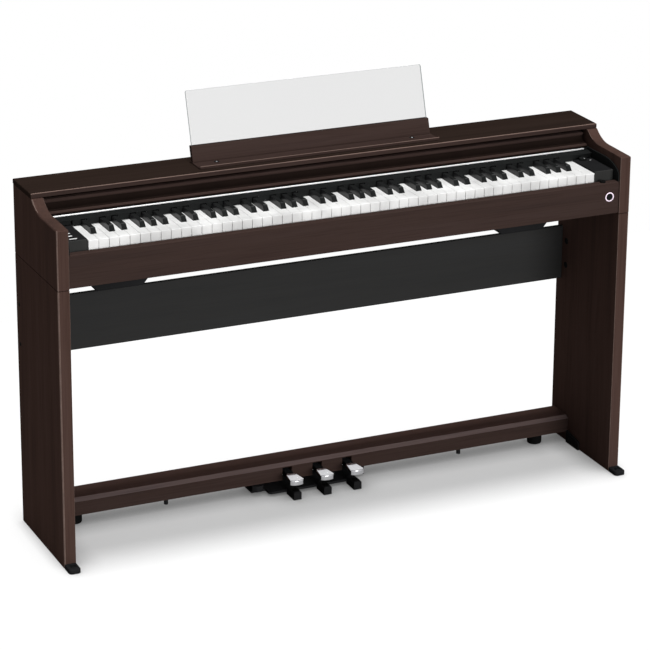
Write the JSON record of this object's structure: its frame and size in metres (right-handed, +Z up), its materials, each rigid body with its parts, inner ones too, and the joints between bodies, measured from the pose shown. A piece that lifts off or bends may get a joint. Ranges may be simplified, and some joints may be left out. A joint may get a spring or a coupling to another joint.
{
  "type": "digital piano on stand",
  "caption": "Slim 88-key digital piano cabinet on two side panels with a modesty board, pedal bar, three pedals, sliding key cover and clear lift-off music rest.",
  "frame": {"origin": "middle of the footprint, on the floor", "axes": "+X to the player's right, +Y to the back, +Z up"},
  "size_m": [1.382, 0.319, 0.963],
  "materials": {
    "dark_laminate": "satin dark brown wood laminate",
    "brown_laminate": "satin brown wood laminate",
    "black_board": "matt black laminated board",
    "black_plastic": "fine-textured black moulding",
    "rubber": "black rubber",
    "ivory": "white key plastic",
    "ebony": "matt black key plastic",
    "silver": "bright satin silver",
    "chrome": "plated",
    "steel": "plain steel",
    "clear_sheet": "clear acrylic sheet",
    "ring_white": "milky light guide",
    "circuit": "green circuit board"
  },
  "bodies": {
    "cabinet": {"stand_panel_left": "dark_laminate", "cheek_left": "dark_laminate", "front_foot_left": "black_plastic", "corner_bracket_left": "black_plastic", "end_block_left": "black_plastic", "cover_guide_left": "black_plastic", "speaker_box_left": "black_plastic", "crossbar_foot_left": "rubber", "speaker_driver_left": "steel", "stand_panel_right": "dark_laminate", "cheek_right": "dark_laminate", "front_foot_right": "black_plastic", "corner_bracket_right": "black_plastic", "end_block_right": "black_plastic", "cover_guide_right": "black_plastic", "speaker_box_right": "black_plastic", "crossbar_foot_right": "rubber", "speaker_driver_right": "steel", "back_panel": "black_board", "crossbar": "brown_laminate", "pedal_base": "black_plastic", "pedal_shaft": "steel", "keybed": "black_board", "front_rail": "brown_laminate", "rear_cover": "black_board", "top_lid": "dark_laminate", "rest_ledge": "dark_laminate", "jack_plate": "black_plastic", "fascia_strip": "black_plastic", "trim_strip": "silver", "main_board": "circuit", "power_ring": "ring_white", "rail_bumper": "rubber", "key_chassis": "steel"},
    "key_cover": {"key_cover": "brown_laminate"},
    "music_rest": {"music_rest_base": "brown_laminate", "music_rest_panel": "clear_sheet"},
    "power_button": {"power_button": "black_plastic"},
    "volume_knob": {"volume_knob": "black_plastic"},
    "pedal_left": {"pedal_left": "chrome"},
    "pedal_middle": {"pedal_middle": "chrome"},
    "pedal_right": {"pedal_right": "chrome"},
    "white_keys_low": {"white_keys_low": "ivory"},
    "white_keys_high": {"white_keys_high": "ivory"},
    "black_keys_low": {"black_keys_low": "ebony"},
    "black_keys_high": {"black_keys_high": "ebony"},
    "key_c4": {"key_c4": "ivory"},
    "key_c_sharp4": {"key_c_sharp4": "ebony"},
    "key_d4": {"key_d4": "ivory"},
    "key_d_sharp4": {"key_d_sharp4": "ebony"},
    "key_e4": {"key_e4": "ivory"},
    "key_f4": {"key_f4": "ivory"},
    "key_f_sharp4": {"key_f_sharp4": "ebony"},
    "key_g4": {"key_g4": "ivory"},
    "key_g_sharp4": {"key_g_sharp4": "ebony"},
    "key_a4": {"key_a4": "ivory"},
    "key_a_sharp4": {"key_a_sharp4": "ebony"},
    "key_b4": {"key_b4": "ivory"}
  },
  "joints": [
    {"name": "key_c4_press", "type": "hinge", "parent": "cabinet", "child": "key_c4", "pos_m": [0, 0.1325, 0.724], "axis": [1, 0, 0], "range_deg": [0, 2.5], "stiffness_Nm_per_rad": 8, "springref_deg": -2.86},
    {"name": "key_c_sharp4_press", "type": "hinge", "parent": "cabinet", "child": "key_c_sharp4", "pos_m": [0, 0.1325, 0.724], "axis": [1, 0, 0], "range_deg": [0, 2.9], "stiffness_Nm_per_rad": 5, "springref_deg": -2.86},
    {"name": "key_d4_press", "type": "hinge", "parent": "cabinet", "child": "key_d4", "pos_m": [0, 0.1325, 0.724], "axis": [1, 0, 0], "range_deg": [0, 2.5], "stiffness_Nm_per_rad": 8, "springref_deg": -2.86},
    {"name": "key_d_sharp4_press", "type": "hinge", "parent": "cabinet", "child": "key_d_sharp4", "pos_m": [0, 0.1325, 0.724], "axis": [1, 0, 0], "range_deg": [0, 2.9], "stiffness_Nm_per_rad": 5, "springref_deg": -2.86},
    {"name": "key_e4_press", "type": "hinge", "parent": "cabinet", "child": "key_e4", "pos_m": [0, 0.1325, 0.724], "axis": [1, 0, 0], "range_deg": [0, 2.5], "stiffness_Nm_per_rad": 8, "springref_deg": -2.86},
    {"name": "key_f4_press", "type": "hinge", "parent": "cabinet", "child": "key_f4", "pos_m": [0, 0.1325, 0.724], "axis": [1, 0, 0], "range_deg": [0, 2.5], "stiffness_Nm_per_rad": 8, "springref_deg": -2.86},
    {"name": "key_f_sharp4_press", "type": "hinge", "parent": "cabinet", "child": "key_f_sharp4", "pos_m": [0, 0.1325, 0.724], "axis": [1, 0, 0], "range_deg": [0, 2.9], "stiffness_Nm_per_rad": 5, "springref_deg": -2.86},
    {"name": "key_g4_press", "type": "hinge", "parent": "cabinet", "child": "key_g4", "pos_m": [0, 0.1325, 0.724], "axis": [1, 0, 0], "range_deg": [0, 2.5], "stiffness_Nm_per_rad": 8, "springref_deg": -2.86},
    {"name": "key_g_sharp4_press", "type": "hinge", "parent": "cabinet", "child": "key_g_sharp4", "pos_m": [0, 0.1325, 0.724], "axis": [1, 0, 0], "range_deg": [0, 2.9], "stiffness_Nm_per_rad": 5, "springref_deg": -2.86},
    {"name": "key_a4_press", "type": "hinge", "parent": "cabinet", "child": "key_a4", "pos_m": [0, 0.1325, 0.724], "axis": [1, 0, 0], "range_deg": [0, 2.5], "stiffness_Nm_per_rad": 8, "springref_deg": -2.86},
    {"name": "key_a_sharp4_press", "type": "hinge", "parent": "cabinet", "child": "key_a_sharp4", "pos_m": [0, 0.1325, 0.724], "axis": [1, 0, 0], "range_deg": [0, 2.9], "stiffness_Nm_per_rad": 5, "springref_deg": -2.86},
    {"name": "key_b4_press", "type": "hinge", "parent": "cabinet", "child": "key_b4", "pos_m": [0, 0.1325, 0.724], "axis": [1, 0, 0], "range_deg": [0, 2.5], "stiffness_Nm_per_rad": 8, "springref_deg": -2.86},
    {"name": "white_keys_low_press", "type": "hinge", "parent": "cabinet", "child": "white_keys_low", "pos_m": [0, 0.1325, 0.724], "axis": [1, 0, 0], "range_deg": [0, 2.5], "stiffness_Nm_per_rad": 184, "springref_deg": -2.86},
    {"name": "white_keys_high_press", "type": "hinge", "parent": "cabinet", "child": "white_keys_high", "pos_m": [0, 0.1325, 0.724], "axis": [1, 0, 0], "range_deg": [0, 2.5], "stiffness_Nm_per_rad": 176, "springref_deg": -2.86},
    {"name": "black_keys_low_press", "type": "hinge", "parent": "cabinet", "child": "black_keys_low", "pos_m": [0, 0.1325, 0.724], "axis": [1, 0, 0], "range_deg": [0, 2.9], "stiffness_Nm_per_rad": 80, "springref_deg": -2.86},
    {"name": "black_keys_high_press", "type": "hinge", "parent": "cabinet", "child": "black_keys_high", "pos_m": [0, 0.1325, 0.724], "axis": [1, 0, 0], "range_deg": [0, 2.9], "stiffness_Nm_per_rad": 75, "springref_deg": -2.86},
    {"name": "pedal_left_press", "type": "hinge", "parent": "cabinet", "child": "pedal_left", "pos_m": [0, 0.1245, 0.044], "axis": [1, 0, 0], "range_deg": [0, 6.5], "stiffness_Nm_per_rad": 15, "springref_deg": -5.73},
    {"name": "pedal_middle_press", "type": "hinge", "parent": "cabinet", "child": "pedal_middle", "pos_m": [0, 0.1245, 0.044], "axis": [1, 0, 0], "range_deg": [0, 6.5], "stiffness_Nm_per_rad": 15, "springref_deg": -5.73},
    {"name": "pedal_right_press", "type": "hinge", "parent": "cabinet", "child": "pedal_right", "pos_m": [0, 0.1245, 0.044], "axis": [1, 0, 0], "range_deg": [0, 6.5], "stiffness_Nm_per_rad": 15, "springref_deg": -5.73},
    {"name": "key_cover_slide", "type": "hinge", "parent": "cabinet", "child": "key_cover", "pos_m": [0, 0.0245, 0.3515], "axis": [1, 0, 0], "range_deg": [0, 18]},
    {"name": "music_rest_lift", "type": "slide", "parent": "cabinet", "child": "music_rest", "axis": [0, 0, 1], "range_m": [0, 0.03]},
    {"name": "power_button_press", "type": "slide", "parent": "cabinet", "child": "power_button", "axis": [0, 1, 0], "range_m": [0, 0.0015], "stiffness_N_per_m": 600, "springref_m": -0.002},
    {"name": "volume_knob_turn", "type": "hinge", "parent": "cabinet", "child": "volume_knob", "pos_m": [0.632, -0.0065, 0.741], "axis": [0, 0, 1], "range_deg": [-140, 140]}
  ]
}
